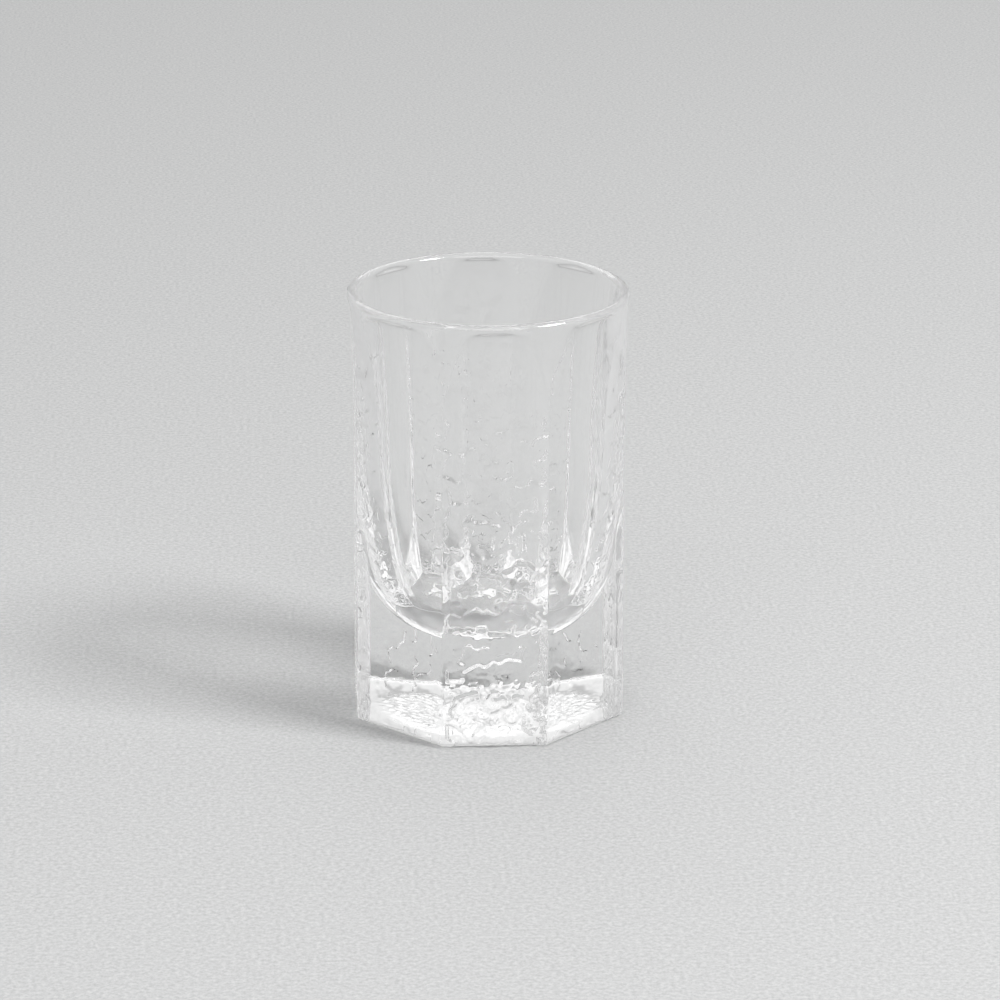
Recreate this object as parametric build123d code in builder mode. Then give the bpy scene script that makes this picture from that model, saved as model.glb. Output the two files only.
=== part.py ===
"""Octagonal shot glass, pressed in one piece from clear soda-lime glass.

A heavy solid foot carries a round tapering cup. Outside, eight flat panels run from the
foot to the mouth. Four of them are moulded plain and four lie a little further out, where
the ice-like relief of the mould is. Below the lip the panels lean outwards until they meet
the round mouth, and the eight corners fade into it.

Frame: millimetres, +Z up, origin at the centre of the face that the glass stands on. The
relief panels face +X, +Y, -X and -Y and the plain panels face the diagonals.
"""

import os
from math import cos, radians, sin, tan

from build123d import *

os.makedirs("parts", exist_ok=True)

# ---------------------------------------------------------------- driving dimensions
height = 70.0            # foot to top of lip
mouth_radius = 22.6      # outside of the lip
lip_thickness = 1.76     # the lip is a full round of this diameter

corner_swell = 0.2       # corners at the foot stand this much outside the mouth
relief_setback = 1.36    # a relief panel at the foot lies this much inside the mouth
plain_recess = 0.23      # a plain panel lies this much further in than a relief panel
panel_draft = 0.245      # degrees that the panels draw in towards the top
foot_edge_radius = 0.5   # fire-polished edge round the standing face

lean_drop = 16.5         # below the top of the lip, where the panels start to lean out
lean_bend_radius = 48.0  # bend between the upright and the leaning stretch of a panel
lean_angle = 4.9         # degrees that the upper stretch leans outwards
runout_drop = 2.7        # below the top of the lip, where a panel starts to run out
runout_radius = 1.6      # hollow in which each panel ends under the lip

foot_thickness = 14.0    # solid glass under the middle of the bowl
wall_draft = 3.1         # degrees, straight upper stretch of the inner wall
wall_bend_rise = 28.0    # above the bottom of the bowl, where the wall starts to close in
wall_bend_radius = 80.0
bowl_angle = 16.2        # degrees off upright where the wall passes into the bowl
bowl_shoulder = 0.55     # how far down the bowl keeps to the wall's direction
bowl_fullness = 0.62     # how far out the bottom of the bowl stays nearly level

# ---------------------------------------------------------------- derived
lip_radius = lip_thickness / 2
lip_level = height - lip_radius
lean_level = height - lean_drop
runout_level = height - runout_drop
wall_bend_level = foot_thickness + wall_bend_rise
corner_radius_foot = mouth_radius + corner_swell
relief_apothem = mouth_radius - relief_setback
plain_apothem = relief_apothem - plain_recess


def facing_up(degrees_off_upright):
    """Direction that climbs, leaning outwards by an angle off upright."""
    return (sin(radians(degrees_off_upright)), cos(radians(degrees_off_upright)))


def facing_down(degrees_off_upright):
    """Direction that falls, closing in towards the axis by an angle off upright."""
    return (-sin(radians(degrees_off_upright)), -cos(radians(degrees_off_upright)))


def panel_cutter(apothem):
    """Everything outside one panel: the mould's face for it, as a solid to take away.

    Its profile goes up one panel, from the polished foot edge to the hollow under the lip.
    """
    clear_of_glass = 2 * mouth_radius
    with BuildPart() as cutter:
        with BuildSketch(Plane.XZ):
            with BuildLine():
                foot = RadiusArc(
                    (apothem - foot_edge_radius, 0),
                    (apothem, foot_edge_radius),
                    -foot_edge_radius,
                )
                upright_rise = lean_level - foot_edge_radius
                upright = Line(
                    foot @ 1,
                    (apothem - upright_rise * tan(radians(panel_draft)), lean_level),
                )
                bend = JernArc(
                    upright @ 1,
                    facing_up(-panel_draft),
                    lean_bend_radius,
                    -(lean_angle + panel_draft),
                )
                lean_rise = runout_level - (bend @ 1).Y
                lean = Line(
                    bend @ 1,
                    (bend @ 1) + Vector(lean_rise * tan(radians(lean_angle)), lean_rise),
                )
                runout = JernArc(lean @ 1, facing_up(lean_angle), runout_radius, lean_angle - 90)
                Polyline(
                    runout @ 1,
                    (clear_of_glass, (runout @ 1).Y),
                    (clear_of_glass, -1),
                    (apothem - foot_edge_radius, -1),
                    foot @ 0,
                )
            make_face()
        extrude(amount=mouth_radius, both=True)
    return cutter.part


relief_cutter = panel_cutter(relief_apothem)
plain_cutter = panel_cutter(plain_apothem)


# ---------------------------------------------------------------- glass body
with BuildPart() as glass_body:
    # Round blank: foot, corner lands, full-round lip, cup wall and bowl.
    with BuildSketch(Plane.XZ):
        with BuildLine():
            standing_face = Line((0, 0), (corner_radius_foot - foot_edge_radius, 0))
            foot_edge = RadiusArc(
                standing_face @ 1,
                (corner_radius_foot, foot_edge_radius),
                -foot_edge_radius,
            )
            corner_land = Line(foot_edge @ 1, (mouth_radius, lip_level))
            lip = ThreePointArc(
                corner_land @ 1,
                (mouth_radius - lip_radius, height),
                (mouth_radius - lip_thickness, lip_level),
            )
            wall_fall = lip_level - wall_bend_level
            wall = Line(
                lip @ 1,
                (lip @ 1) - Vector(wall_fall * tan(radians(wall_draft)), wall_fall),
            )
            wall_bend = JernArc(
                wall @ 1, facing_down(wall_draft), wall_bend_radius, wall_draft - bowl_angle
            )
            bowl_start = wall_bend @ 1
            bowl_depth = bowl_start.Y - foot_thickness
            bowl = Bezier(
                bowl_start,
                bowl_start + Vector(*facing_down(bowl_angle)) * (bowl_shoulder * bowl_depth),
                (bowl_fullness * bowl_start.X, foot_thickness),
                (0, foot_thickness),
            )
            Line(bowl @ 1, standing_face @ 0)
        make_face()
    revolve(axis=Axis.Z)
    # Eight panels, relief and plain in turn.
    with PolarLocations(0, 4):
        add(relief_cutter, mode=Mode.SUBTRACT)
    with PolarLocations(0, 4, start_angle=45):
        add(plain_cutter, mode=Mode.SUBTRACT)

glass_body.part.label = "glass_body"
export_step(glass_body.part, "parts/glass_body.step")
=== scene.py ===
"""Octagonal pressed shot glass, standing on a paper sweep under soft studio light.

The glass is one closed skin. A round blank (foot, wall, full-round lip, tapering cup) is
made as a mesh; a Geometry Nodes tree then does what the mould does: it presses the eight
panels and raises the melted-ice relief on four of them and in the middle of the underside.
Lengths are metres, +Z is up and the origin is the centre of the face the glass stands on.
"""

import math
from functools import partial

import bpy
from mathutils import Matrix, Vector


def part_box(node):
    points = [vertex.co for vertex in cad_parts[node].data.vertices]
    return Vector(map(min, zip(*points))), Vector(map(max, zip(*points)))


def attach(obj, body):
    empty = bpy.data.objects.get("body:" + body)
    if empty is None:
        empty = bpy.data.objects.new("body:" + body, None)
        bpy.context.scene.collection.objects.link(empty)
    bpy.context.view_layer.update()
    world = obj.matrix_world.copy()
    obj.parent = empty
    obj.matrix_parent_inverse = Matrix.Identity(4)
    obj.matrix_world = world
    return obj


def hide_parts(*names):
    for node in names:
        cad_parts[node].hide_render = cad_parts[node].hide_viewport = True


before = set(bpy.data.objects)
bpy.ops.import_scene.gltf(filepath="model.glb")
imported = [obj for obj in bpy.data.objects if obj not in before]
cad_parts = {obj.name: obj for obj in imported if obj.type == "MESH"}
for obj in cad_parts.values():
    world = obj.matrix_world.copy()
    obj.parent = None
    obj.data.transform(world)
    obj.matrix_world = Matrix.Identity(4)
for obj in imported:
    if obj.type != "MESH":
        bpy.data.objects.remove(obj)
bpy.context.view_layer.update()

mm = 0.001
degree = math.pi / 180

# ---------------------------------------------------------------- sizes of the glass
glass_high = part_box("glass_body")[1]    # its highest corner
height = glass_high.z
mouth_radius = glass_high.x

lip_thickness = 1.76 * mm        # the lip is a full round
lip_radius = lip_thickness / 2
lip_level = height - lip_radius  # of the middle of that round
corner_radius_foot = 22.8 * mm   # round land on each corner, at the foot
foot_edge = 0.5 * mm             # fire-polished edge round the standing face
rim_lift = 0.15 * mm             # the standing face turns up this much towards that edge
flat_share = 0.74                # out to this share of the foot's radius it is level

relief_apothem = 21.24 * mm      # centre line to an ice-textured panel, at the foot
plain_apothem = 21.01 * mm       # centre line to a plain panel, at the foot
panel_draft = 0.0043             # how far a panel draws in per unit of height
panel_count = 8
panel_turn = 360 * degree / panel_count
unpressed = 1 * mm               # a reach too short for any panel: the ring stays round

foot_thickness = 14.0 * mm       # solid glass under the middle of the bowl
wall_draft = 3.1 * degree        # straight upper stretch of the cup wall
wall_bend_level = 42 * mm        # below this the cup wall closes in
wall_bend_radius = 80 * mm
bowl_angle = 16.2 * degree       # off upright where the wall passes into the bowl
bowl_shoulder = 0.55             # a larger share keeps the side of the bowl straighter
bowl_fullness = 0.62             # a larger share makes the bottom of the bowl flatter

# ---------------------------------------------------------------- how finely it is meshed
foot_edge_rings = 5
outside_rows = (                 # (up to this level, in this many rows)
    (20 * mm, 72),
    (54 * mm, 112),
    (67.5 * mm, 22),
)
last_rows = 8                    # from there to the lip
lip_rings = 6                    # for each quarter of the lip's round
wall_rings = 20
bend_rings = 14
bowl_rings = 24
turned_up_rings = 7              # of the underside, over its turned-up outer part
level_rings = 38                 # and over the level rest
relief_columns = 64              # across one relief panel
plain_columns = 16               # across one plain panel


# ---------------------------------------------------------------- node helper
def add_node(tree, kind, *inputs, out=0, **settings):
    """Add a node, apply its settings, feed its inputs in order and return one output.

    An input is a socket to link, a plain value, or None to leave it alone.
    """
    node = tree.nodes.new(kind)
    for name, value in settings.items():
        setattr(node, name, value)
    for socket, value in zip(node.inputs, inputs):
        if isinstance(value, bpy.types.NodeSocket):
            tree.links.new(value, socket)
        elif value is not None:
            socket.default_value = value
    return node if out is None else node.outputs[out]


def linear(hex_colour):
    """sRGB hex, such as "d2d3d3", to the linear RGBA that shaders take."""
    channels = [int(hex_colour[i:i + 2], 16) / 255 for i in (0, 2, 4)]
    return [c / 12.92 if c <= 0.04045 else ((c + 0.055) / 1.055) ** 2.4 for c in channels] + [1.0]


# ---------------------------------------------------------------- the round blank
def evenly(start, end, count):
    """Steps from start to end, without start and with end."""
    return [start + (end - start) * i / count for i in range(1, count + 1)]


def bezier(p0, p1, p2, p3, t):
    """The point a share t of the way along the curve from p0 to p3."""
    s = 1 - t
    return tuple(
        s ** 3 * a + 3 * s * s * t * b + 3 * s * t * t * c + t ** 3 * d
        for a, b, c, d in zip(p0, p1, p2, p3)
    )


def cup_profile():
    """(radius, level) down the inside, from under the lip to just short of the bowl's middle."""
    top_radius = mouth_radius - lip_thickness
    fall = lip_level - wall_bend_level
    points = [
        (top_radius - depth * math.tan(wall_draft), lip_level - depth)
        for depth in evenly(0, fall, wall_rings)
    ]
    bend_radius, bend_level = points[-1]
    for angle in evenly(wall_draft, bowl_angle, bend_rings):
        points.append((
            bend_radius - wall_bend_radius * (math.cos(wall_draft) - math.cos(angle)),
            bend_level - wall_bend_radius * (math.sin(angle) - math.sin(wall_draft)),
        ))
    start = points[-1]
    handle = bowl_shoulder * (start[1] - foot_thickness)
    leave = (start[0] - handle * math.sin(bowl_angle), start[1] - handle * math.cos(bowl_angle))
    arrive = (bowl_fullness * start[0], foot_thickness)
    middle = (0.0, foot_thickness)
    points += [bezier(start, leave, arrive, middle, t) for t in evenly(0, 1, bowl_rings)[:-1]]
    return points


def outside_rings():
    """Rings up the outside, from the foot edge to the top of the lip.

    Each is (radius, level, reach, ice). reach is the blank's own radius, which the mould
    compares with its panels; the foot edge uses the foot's, so that it shrinks with the
    panel. ice is how much relief the ring may take.
    """
    foot = corner_radius_foot
    rings = []
    for turn in [0] + evenly(0, 90 * degree, foot_edge_rings):
        rings.append((
            foot - foot_edge * (1 - math.sin(turn)),
            rim_lift + foot_edge * (1 - math.cos(turn)),
            foot,
            math.sin(turn),
        ))
    levels = []
    row_start = rim_lift + foot_edge
    for row_end, rows in outside_rows + ((lip_level, last_rows),):
        levels += evenly(row_start, row_end, rows)
        row_start = row_end
    for level in levels:
        share = (level - foot_edge) / (lip_level - foot_edge)
        radius = foot + (mouth_radius - foot) * share
        rings.append((radius, level, radius, 1.0))
    for turn in evenly(0, 90 * degree, lip_rings):
        rings.append((
            mouth_radius - lip_radius + lip_radius * math.cos(turn),
            lip_level + lip_radius * math.sin(turn),
            unpressed,
            0.0,
        ))
    return rings


def inside_rings():
    """Rings from just inside the top of the lip down to just short of the bowl's middle."""
    rings = []
    for turn in evenly(90 * degree, 180 * degree, lip_rings):
        rings.append((
            mouth_radius - lip_radius + lip_radius * math.cos(turn),
            lip_level + lip_radius * math.sin(turn),
            unpressed,
            0.0,
        ))
    rings += [(radius, level, unpressed, 0.0) for radius, level in cup_profile()]
    return rings


def underside_rings():
    """Rings from the foot edge inwards: a turned-up rim, then level almost to the middle."""
    foot = corner_radius_foot
    rings = []
    for share in evenly(1 - foot_edge / foot, flat_share, turned_up_rings):
        lift = rim_lift * ((share - flat_share) / (1 - flat_share)) ** 2
        rings.append((foot * share, lift, foot, 0.0))
    for share in evenly(flat_share, 0, level_rings)[:-1]:
        rings.append((foot * share, 0.0, foot, 0.0))
    return rings


def column_angles():
    """Angles of the mesh columns: closest on the relief panels, one on each corner's land."""
    relief_half = math.acos(relief_apothem / corner_radius_foot)
    plain_half = math.acos(plain_apothem / corner_radius_foot)
    angles = []
    for panel in range(panel_count):
        is_relief = panel % 2 == 0
        half = relief_half if is_relief else plain_half
        across = [-1.0] + evenly(-1, 1, relief_columns if is_relief else plain_columns)
        angles += [panel * panel_turn + math.atan(s * math.tan(half)) for s in across]
        land = panel_turn - relief_half - plain_half
        angles.append(panel * panel_turn + half + land / 2)
    return angles


def round_blank():
    """Closed mesh of the blank, with what the mould needs to know stored on its points.

    The outside has every column; the inside and the underside have every second one.
    """
    fine = column_angles()
    coarse = fine[::2]
    columns, half = len(fine), len(coarse)
    points, reach, ice, faces = [], [], [], []

    def add_ring(ring, angles):
        radius, level, ring_reach, ring_ice = ring
        points.extend((radius * math.cos(a), radius * math.sin(a), level) for a in angles)
        reach.extend([ring_reach] * len(angles))
        ice.extend([ring_ice] * len(angles))
        return len(points) - len(angles)

    def add_pole(level, ring_reach):
        points.append((0.0, 0.0, level))
        reach.append(ring_reach)
        ice.append(0.0)
        return len(points) - 1

    def join(low, high, count):
        for j in range(count):
            k = (j + 1) % count
            faces.append((low + j, low + k, high + k, high + j))

    def halve(many, few, flip):
        """Join a full ring to one with half its points."""
        for j in range(half):
            k = (j + 1) % half
            a, b, c = many + 2 * j, many + 2 * j + 1, many + (2 * j + 2) % columns
            for face in ((a, b, few + j), (b, few + k, few + j), (b, c, few + k)):
                faces.append(face[::-1] if flip else face)

    foot_start = ring_start = None
    for ring in outside_rings():
        start = add_ring(ring, fine)
        if ring_start is None:
            foot_start = start
        else:
            join(ring_start, start, columns)
        ring_start = start

    inside_start = None
    for ring in inside_rings():
        start = add_ring(ring, coarse)
        if inside_start is None:
            halve(ring_start, start, flip=False)
        else:
            join(inside_start, start, half)
        inside_start = start
    middle = add_pole(foot_thickness, unpressed)
    faces.extend((inside_start + j, inside_start + (j + 1) % half, middle) for j in range(half))

    # The underside's columns slide round to even spacing over its turned-up rings.
    under_start = None
    even = [coarse[0] + j * 2 * math.pi / half for j in range(half)]
    for i, ring in enumerate(underside_rings()):
        slide = min(1.0, (i + 1) / turned_up_rings)
        angles = [a + (b - a) * slide for a, b in zip(coarse, even)]
        start = add_ring(ring, angles)
        if under_start is None:
            halve(foot_start, start, flip=True)
        else:
            join(start, under_start, half)
        under_start = start
    middle = add_pole(0.0, corner_radius_foot)
    faces.extend((under_start + (j + 1) % half, under_start + j, middle) for j in range(half))

    mesh = bpy.data.meshes.new("round_blank")
    mesh.from_pydata(points, [], faces)
    for name, values in (("reach", reach), ("ice", ice)):
        mesh.attributes.new(name, "FLOAT", "POINT").data.foreach_set("value", values)
    blank = bpy.data.objects.new("round_blank", mesh)
    bpy.context.scene.collection.objects.link(blank)
    return blank


# ---------------------------------------------------------------- the mould
mould_inputs = {
    "Relief apothem": relief_apothem,
    "Plain apothem": plain_apothem,
    "Draft": panel_draft,
    "Lean level": 55.6 * mm,        # where the panels bend from upright to leaning
    "Lean bend": 2.6 * mm,
    "Lean slope": 0.0865,
    "Run-out level": 68.8 * mm,     # where the panels run out under the lip
    "Run-out bend": 0.35 * mm,
    "Run-out slope": 2.2,
    "Edge softness": 0.07 * mm,
    "Ice height": 0.28 * mm,        # how far the relief stands off its panel
    "Ice island": 3.2 * mm,         # width of the melted plateaus
    "Ice pebble": 0.7 * mm,         # width of the small lumps on and round them
    "Ice shore": 0.57,              # a lower shore leaves more of the noise as plateau
    "Shore width": 0.025,
    "Foot crowding": 0.12,          # how far the shore drops at the foot
    "Edge crowding": 0.13,          # and along a panel's upright edges
    "Edge start": 6.8 * mm,         # from a panel's middle line to where its edges begin
    "Edge end": 8.4 * mm,
    "Pebble share": 0.9,            # height of the lumps against the plateaus
    "Pebble gathering": 1.5,        # a higher power keeps the lumps nearer the foot
    "Ice thins": 58 * mm,           # the relief begins to die away at this level
    "Ice top": 66 * mm,             # and has died away at this one
    "Underside ice": 0.8 * mm,      # depth of the relief in the middle of the underside
    "Underside grain": 1.3 * mm,
    "Underside middle": 10 * mm,    # full depth out to this radius
    "Underside flat": 15 * mm,      # and flat beyond this one
    "Foot slice": 1 * mm,           # below this level a point belongs to the underside
}
island_detail = 1.2              # of the noise that each kind of relief is made from
pebble_detail = 1.0
underside_detail = 1.5
noise_roughness = 0.5
noise_lacunarity = 2.0
sheets_apart = 0.5               # metres of noise from one panel's relief to the next's


def mould_tree(glass_material):
    """Geometry Nodes tree that presses the panels and the relief into the round blank."""
    tree = bpy.data.node_groups.new("panel_mould", "GeometryNodeTree")
    tree.interface.new_socket("Geometry", in_out="INPUT", socket_type="NodeSocketGeometry")
    tree.interface.new_socket("Geometry", in_out="OUTPUT", socket_type="NodeSocketGeometry")
    for name, value in mould_inputs.items():
        socket = tree.interface.new_socket(name, in_out="INPUT", socket_type="NodeSocketFloat")
        socket.default_value = value
    add = partial(add_node, tree)
    size = add("NodeGroupInput", out=None).outputs
    reach = add("GeometryNodeInputNamedAttribute", "reach", data_type="FLOAT")
    ice = add("GeometryNodeInputNamedAttribute", "ice", data_type="FLOAT")

    # Where a point is: its level, its panel, and its angle off that panel's middle.
    place = add("GeometryNodeInputPosition")
    x, y, level = add("ShaderNodeSeparateXYZ", place, out=None).outputs
    azimuth = add("ShaderNodeMath", y, x, operation="ARCTAN2")
    turns = add("ShaderNodeMath", azimuth, panel_turn, operation="DIVIDE")
    panel = add("ShaderNodeMath", turns, operation="ROUND")
    facing = add("ShaderNodeMath", panel, panel_turn, operation="MULTIPLY")
    off_middle = add("ShaderNodeMath", azimuth, facing, operation="SUBTRACT")
    is_plain = add("ShaderNodeMath", panel, 1.0, operation="PINGPONG")

    def ramp_from(start, bend, slope):
        """Nothing below the start, then a slope, with a smooth bend between them."""
        beyond = add("ShaderNodeMath", level, start, operation="SUBTRACT")
        beyond_squared = add("ShaderNodeMath", beyond, beyond, operation="MULTIPLY")
        bend_squared = add("ShaderNodeMath", bend, bend, operation="MULTIPLY")
        squares = add("ShaderNodeMath", beyond_squared, bend_squared, operation="ADD")
        rounded = add("ShaderNodeMath", squares, operation="SQRT")
        both = add("ShaderNodeMath", beyond, rounded, operation="ADD")
        half = add("ShaderNodeMath", both, 0.5, operation="MULTIPLY")
        return add("ShaderNodeMath", half, slope, operation="MULTIPLY")

    # How far out the panels stand at this level: lean and run-out, less the draft.
    lean = ramp_from(size["Lean level"], size["Lean bend"], size["Lean slope"])
    run_out = ramp_from(size["Run-out level"], size["Run-out bend"], size["Run-out slope"])
    outward_lean = add("ShaderNodeMath", lean, run_out, operation="ADD")
    draft = add("ShaderNodeMath", level, size["Draft"], operation="MULTIPLY")
    stand_off = add("ShaderNodeMath", outward_lean, draft, operation="SUBTRACT")

    # Distance to this panel's plane and to its neighbour's, then the blank's own radius.
    difference = add(
        "ShaderNodeMath", size["Plain apothem"], size["Relief apothem"], operation="SUBTRACT",
    )
    step = add("ShaderNodeMath", difference, is_plain, operation="MULTIPLY")
    own = add("ShaderNodeMath", size["Relief apothem"], step, operation="ADD")
    other = add("ShaderNodeMath", size["Plain apothem"], step, operation="SUBTRACT")
    own_plane = add("ShaderNodeMath", own, stand_off, operation="ADD")
    own_slant = add("ShaderNodeMath", off_middle, operation="COSINE")
    to_own = add("ShaderNodeMath", own_plane, own_slant, operation="DIVIDE")
    off_either_side = add("ShaderNodeMath", off_middle, operation="ABSOLUTE")
    off_other = add("ShaderNodeMath", panel_turn, off_either_side, operation="SUBTRACT")
    other_plane = add("ShaderNodeMath", other, stand_off, operation="ADD")
    other_slant = add("ShaderNodeMath", off_other, operation="COSINE")
    to_other = add("ShaderNodeMath", other_plane, other_slant, operation="DIVIDE")
    softness = size["Edge softness"]
    to_panels = add("ShaderNodeMath", to_own, to_other, softness, operation="SMOOTH_MIN")
    pressed = add("ShaderNodeMath", to_panels, reach, softness, operation="SMOOTH_MIN")
    share = add("ShaderNodeMath", pressed, reach, operation="DIVIDE")

    # The panel's own sheet: across it, up it, and far apart from panel to panel.
    flat_place = add("ShaderNodeCombineXYZ", x, y)
    blank_radius = add("ShaderNodeVectorMath", flat_place, operation="LENGTH", out="Value")
    radius = add("ShaderNodeMath", blank_radius, share, operation="MULTIPLY")
    sideways = add("ShaderNodeMath", off_middle, operation="SINE")
    across = add("ShaderNodeMath", radius, sideways, operation="MULTIPLY")
    apart = add("ShaderNodeMath", panel, sheets_apart, operation="MULTIPLY")
    sheet = add("ShaderNodeCombineXYZ", across, level, apart)

    # Plateaus, which crowd together towards the foot and along the upright edges.
    height_share = add("ShaderNodeMath", level, size["Ice top"], operation="DIVIDE")
    depth_share = add("ShaderNodeMath", 1.0, height_share, operation="SUBTRACT")
    low = add("ShaderNodeClamp", depth_share)
    off_line = add("ShaderNodeMath", across, operation="ABSOLUTE")
    edge = add(
        "ShaderNodeMapRange", off_line, size["Edge start"], size["Edge end"], 0.0, 1.0,
        interpolation_type="SMOOTHSTEP",
    )
    foot_drop = add("ShaderNodeMath", low, size["Foot crowding"], operation="MULTIPLY")
    edge_drop = add("ShaderNodeMath", edge, size["Edge crowding"], operation="MULTIPLY")
    shore_drop = add("ShaderNodeMath", foot_drop, edge_drop, operation="ADD")
    shore = add("ShaderNodeMath", size["Ice shore"], shore_drop, operation="SUBTRACT")
    shore_top = add("ShaderNodeMath", shore, size["Shore width"], operation="ADD")
    island_scale = add("ShaderNodeMath", 1.0, size["Ice island"], operation="DIVIDE")
    island_noise = add(
        "ShaderNodeTexNoise", sheet, None, island_scale, island_detail,
        noise_roughness, noise_lacunarity,
    )
    islands = add(
        "ShaderNodeMapRange", island_noise, shore, shore_top, 0.0, 1.0,
        interpolation_type="SMOOTHSTEP",
    )

    # Small lumps on and round the plateaus.
    pebble_scale = add("ShaderNodeMath", 1.0, size["Ice pebble"], operation="DIVIDE")
    pebble_noise = add(
        "ShaderNodeTexNoise", sheet, None, pebble_scale, pebble_detail,
        noise_roughness, noise_lacunarity,
    )
    up_and_down = add("ShaderNodeMath", pebble_noise, 0.5, operation="SUBTRACT")
    gathered = add("ShaderNodeMath", low, size["Pebble gathering"], operation="POWER")
    lumps = add("ShaderNodeMath", up_and_down, gathered, operation="MULTIPLY")
    pebbles = add("ShaderNodeMath", lumps, size["Pebble share"], operation="MULTIPLY")

    # Both stand off the relief panels only, and die away towards the mouth.
    rise = add("ShaderNodeMath", islands, pebbles, operation="ADD")
    is_relief = add("ShaderNodeMath", 1.0, is_plain, operation="SUBTRACT")
    top_fade = add(
        "ShaderNodeMapRange", level, size["Ice top"], size["Ice thins"], 0.0, 1.0,
        interpolation_type="SMOOTHSTEP",
    )
    relief_ice = add("ShaderNodeMath", ice, is_relief, operation="MULTIPLY")
    weight = add("ShaderNodeMath", relief_ice, top_fade, operation="MULTIPLY")
    weighed_rise = add("ShaderNodeMath", rise, weight, operation="MULTIPLY")
    relief = add("ShaderNodeMath", weighed_rise, size["Ice height"], operation="MULTIPLY")

    # The middle of the underside is hollowed upwards from the level ring it stands on.
    under = add("ShaderNodeMath", level, size["Foot slice"], operation="LESS_THAN")
    inward = add(
        "ShaderNodeMapRange", radius, size["Underside flat"], size["Underside middle"], 0.0, 1.0,
        interpolation_type="SMOOTHSTEP",
    )
    under_scale = add("ShaderNodeMath", 1.0, size["Underside grain"], operation="DIVIDE")
    under_noise = add(
        "ShaderNodeTexNoise", place, None, under_scale, underside_detail,
        noise_roughness, noise_lacunarity,
    )
    under_depth = add("ShaderNodeMath", under, size["Underside ice"], operation="MULTIPLY")
    under_rise = add("ShaderNodeMath", under_noise, inward, operation="MULTIPLY")
    wave = add("ShaderNodeMath", under_rise, under_depth, operation="MULTIPLY")

    # Press the ring in to its panel, then raise the relief square to that panel.
    spread = add("ShaderNodeCombineXYZ", share, share, 1.0)
    shaped = add("ShaderNodeVectorMath", place, spread, operation="MULTIPLY")
    facing_x = add("ShaderNodeMath", facing, operation="COSINE")
    facing_y = add("ShaderNodeMath", facing, operation="SINE")
    relief_x = add("ShaderNodeMath", facing_x, relief, operation="MULTIPLY")
    relief_y = add("ShaderNodeMath", facing_y, relief, operation="MULTIPLY")
    outward = add("ShaderNodeCombineXYZ", relief_x, relief_y, wave)
    final_place = add("ShaderNodeVectorMath", shaped, outward, operation="ADD")
    moved = add("GeometryNodeSetPosition", size["Geometry"], None, final_place)
    smooth = add("GeometryNodeSetShadeSmooth", moved)
    real = add("GeometryNodeRealizeInstances", smooth)
    finished = add("GeometryNodeSetMaterial", real, None, glass_material)
    add("NodeGroupOutput", finished, out=None)
    return tree


def pressed_glass(glass_material):
    """Press the blank, turn the result into a plain mesh and return it as its own piece."""
    blank = round_blank()
    tree = mould_tree(glass_material)
    mould = blank.modifiers.new("mould", "NODES")
    mould.node_group = tree
    for item in tree.interface.items_tree:
        if item.in_out == "INPUT" and item.name in mould_inputs:
            mould[item.identifier] = mould_inputs[item.name]
    graph = bpy.context.evaluated_depsgraph_get()
    mesh = bpy.data.meshes.new_from_object(blank.evaluated_get(graph), depsgraph=graph)
    for name in ("reach", "ice"):
        mesh.attributes.remove(mesh.attributes[name])
    blank.modifiers.remove(mould)
    bpy.data.objects.remove(blank)
    mesh.name = "pressed_glass"
    glass = bpy.data.objects.new("pressed_glass", mesh)
    bpy.context.scene.collection.objects.link(glass)
    return glass


# ---------------------------------------------------------------- materials
def pressed_soda_lime_glass():
    """Pressed, fire-polished soda-lime glass: colourless, with no haze and no pattern of its
    own, so that all that the eye gets is light bent and mirrored by its shape."""
    square_on, glancing = 0.1, 0.75         # how far a wall is turned from the lamp's rays
    through_wall = 0.80                     # light that passes a wall which is square on
    sloping_face, level_face = 0.5, 0.95    # how nearly upright a face's normal is
    material = bpy.data.materials.new("pressed soda-lime glass")
    material.use_nodes = True
    tree = material.node_tree
    tree.nodes.clear()
    shader = add_node(tree, "ShaderNodeBsdfPrincipled", out=None)
    shader.inputs["Base Color"].default_value = linear("ffffff")
    shader.inputs["Transmission Weight"].default_value = 1.0
    shader.inputs["Roughness"].default_value = 0.0
    shader.inputs["IOR"].default_value = 1.52

    # The light that throws its shadow goes straight through: all of it where the foot and
    # the bowl lie level, less the more a wall is turned, so the shadow falls in two bands.
    glance = add_node(tree, "ShaderNodeLayerWeight", 0.5, out="Facing")
    wall = add_node(
        tree, "ShaderNodeMapRange", glance, square_on, glancing, through_wall, 0.0,
    )
    normal = add_node(tree, "ShaderNodeNewGeometry", out="Normal")
    upness = add_node(tree, "ShaderNodeSeparateXYZ", normal, out="Z")
    levelness = add_node(tree, "ShaderNodeMath", upness, operation="ABSOLUTE")
    tint = add_node(
        tree, "ShaderNodeMapRange", levelness, sloping_face, level_face, wall, 1.0,
    )
    passing = add_node(tree, "ShaderNodeBsdfTransparent", tint)
    is_shadow = add_node(tree, "ShaderNodeLightPath", out="Is Shadow Ray")
    surface = add_node(tree, "ShaderNodeMixShader", is_shadow, shader.outputs[0], passing)
    add_node(tree, "ShaderNodeOutputMaterial", surface, out=None)
    return material


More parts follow.
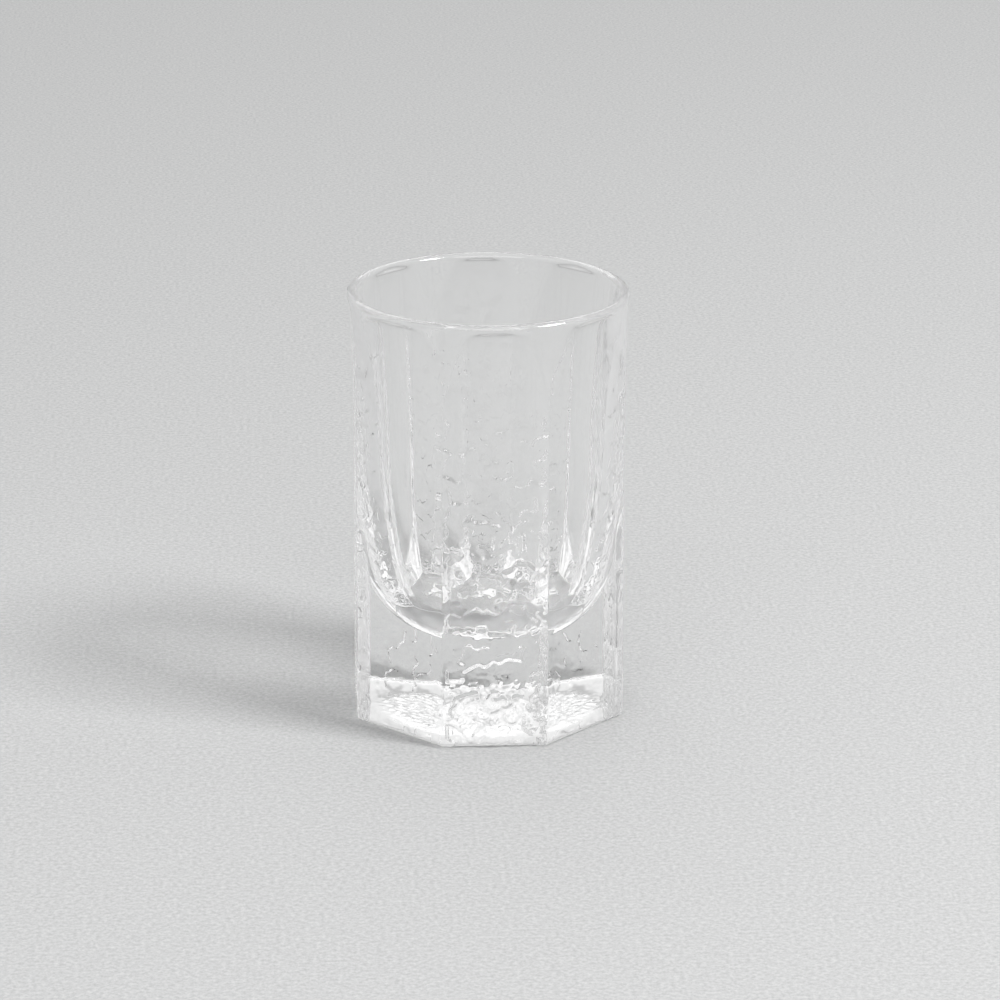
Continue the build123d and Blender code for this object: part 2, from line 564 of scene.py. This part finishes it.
def matt_paper():
    """Seamless backdrop paper: matt and pale grey, with a fibre grain that is just visible."""
    fibre_clump = mm / 1.4    # 0.71 mm: coarser than single fibres, which wouldn't show
    fibre_detail = 4.0
    fibre_roughness = 0.7
    material = bpy.data.materials.new("matt backdrop paper")
    material.use_nodes = True
    tree = material.node_tree
    tree.nodes.clear()
    shader = add_node(tree, "ShaderNodeBsdfPrincipled", out=None)
    shader.inputs["Roughness"].default_value = 0.9
    shader.inputs["Specular IOR Level"].default_value = 0.1
    place = add_node(tree, "ShaderNodeTexCoord", out="Object")
    fibre = add_node(
        tree, "ShaderNodeTexNoise", place, None, 1 / fibre_clump, fibre_detail,
        fibre_roughness, noise_lacunarity,
    )
    tone = add_node(tree, "ShaderNodeMixRGB", fibre, linear("767777"), linear("b2b2b2"))
    tree.links.new(tone, shader.inputs["Base Color"])
    add_node(tree, "ShaderNodeOutputMaterial", shader.outputs[0], out=None)
    return material


# ---------------------------------------------------------------- the glass
glass = pressed_glass(pressed_soda_lime_glass())
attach(glass, "root")
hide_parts("glass_body")

# ---------------------------------------------------------------- the sweep it stands on
air_film = 0.05 * mm    # thin air under the foot, so that the underside mirrors as glass does
sweep_half = 3.0
corners = ((-1, -1), (1, -1), (1, 1), (-1, 1))
sweep_mesh = bpy.data.meshes.new("paper_sweep")
sweep_mesh.from_pydata(
    [(sx * sweep_half, sy * sweep_half, -air_film) for sx, sy in corners],
    [],
    [(0, 1, 2, 3)],
)
sweep_mesh.materials.append(matt_paper())
sweep = bpy.data.objects.new("paper_sweep", sweep_mesh)
bpy.context.scene.collection.objects.link(sweep)

# ---------------------------------------------------------------- light
studio_turn = -3.285 * degree    # the studio's front, seen from the glass's front panel
studio = Matrix.Rotation(studio_turn, 4, "Z")


def softbox(name, place, target, width, depth, power):
    """A rectangular lamp that lights the glass and the paper but isn't seen through the glass."""
    light = bpy.data.lights.new(name, "AREA")
    light.shape = "RECTANGLE"
    light.size = width
    light.size_y = depth
    light.energy = power
    lamp = bpy.data.objects.new(name, light)
    bpy.context.scene.collection.objects.link(lamp)
    place, target = studio @ Vector(place), studio @ Vector(target)
    facing = (target - place).to_track_quat("-Z", "Y")
    lamp.matrix_world = Matrix.Translation(place) @ facing.to_matrix().to_4x4()
    lamp.visible_transmission = False


softbox(
    "key_softbox", place=(0.9, -0.44, 1.07), target=(0, 0, 0.03),
    width=0.40, depth=0.40, power=24,
)
softbox(
    "back_softbox", place=(-0.2, 0.9, 0.75), target=(0, 0, 0.07),
    width=1.0, depth=0.5, power=2.0,
)
softbox(
    "front_softbox", place=(0.0, -0.8, 0.7), target=(0, -0.2, 0),
    width=1.0, depth=0.6, power=4.5,
)

# The rest of the room: a dim band low down, pale walls above it, a brighter ceiling, and a
# darker end in front of the glass.
low_band, high_walls = 0.54, 0.89
band_top = math.sin(8 * degree)
walls_from = math.sin(23 * degree)
dark_end, open_room = 0.7, 1.0
dark_end_at, open_room_from = -0.85, -0.2    # from the front, -1, to the back, 1
plain_walls, ceiling = 1.0, 1.35
walls_top = math.sin(28 * degree)
ceiling_from = math.sin(45 * degree)

world = bpy.data.worlds.new("studio")
bpy.context.scene.world = world
world.use_nodes = True
room = world.node_tree
room.nodes.clear()
direction = add_node(room, "ShaderNodeTexCoord", out="Generated")
upward = add_node(room, "ShaderNodeSeparateXYZ", direction, out="Z")
backward = add_node(room, "ShaderNodeSeparateXYZ", direction, out="Y")
by_height = add_node(
    room, "ShaderNodeMapRange", upward, band_top, walls_from, low_band, high_walls,
)
by_depth = add_node(
    room, "ShaderNodeMapRange", backward, dark_end_at, open_room_from, dark_end, open_room,
)
overhead = add_node(
    room, "ShaderNodeMapRange", upward, walls_top, ceiling_from, plain_walls, ceiling,
)
walls = add_node(room, "ShaderNodeMath", by_height, by_depth, operation="MULTIPLY")
strength = add_node(room, "ShaderNodeMath", walls, overhead, operation="MULTIPLY")
glow = add_node(room, "ShaderNodeBackground", linear("ffffff"), strength)
add_node(room, "ShaderNodeOutputWorld", glow, out=None)

# ---------------------------------------------------------------- camera
camera_distance = 0.727
camera_elevation = 20.84 * degree
camera_pitch = 18.259 * degree
camera_yaw = 0.167 * degree
camera_roll = 0.166 * degree
camera_lens = 159.48             # for a sensor 36 mm wide
camera = bpy.data.objects.new("camera", bpy.data.cameras.new("camera"))
bpy.context.scene.collection.objects.link(camera)
camera.data.sensor_width = 36
camera.data.lens = camera_lens
camera.data.clip_start = 0.01
camera_place = Vector((
    0, -camera_distance * math.cos(camera_elevation), camera_distance * math.sin(camera_elevation)
))
camera.matrix_world = (
    studio
    @ Matrix.Translation(camera_place)
    @ Matrix.Rotation(-camera_yaw, 4, "Z")
    @ Matrix.Rotation(math.pi / 2 - camera_pitch, 4, "X")
    @ Matrix.Rotation(camera_roll, 4, "Z")
)
bpy.context.scene.camera = camera

# ---------------------------------------------------------------- picture
scene = bpy.context.scene
scene.view_settings.view_transform = "Standard"
glass_bounces = 48    # light is mirrored many times inside the foot before it comes out
scene.cycles.max_bounces = glass_bounces
scene.cycles.transmission_bounces = glass_bounces
scene.cycles.glossy_bounces = glass_bounces
scene.cycles.use_denoising = True
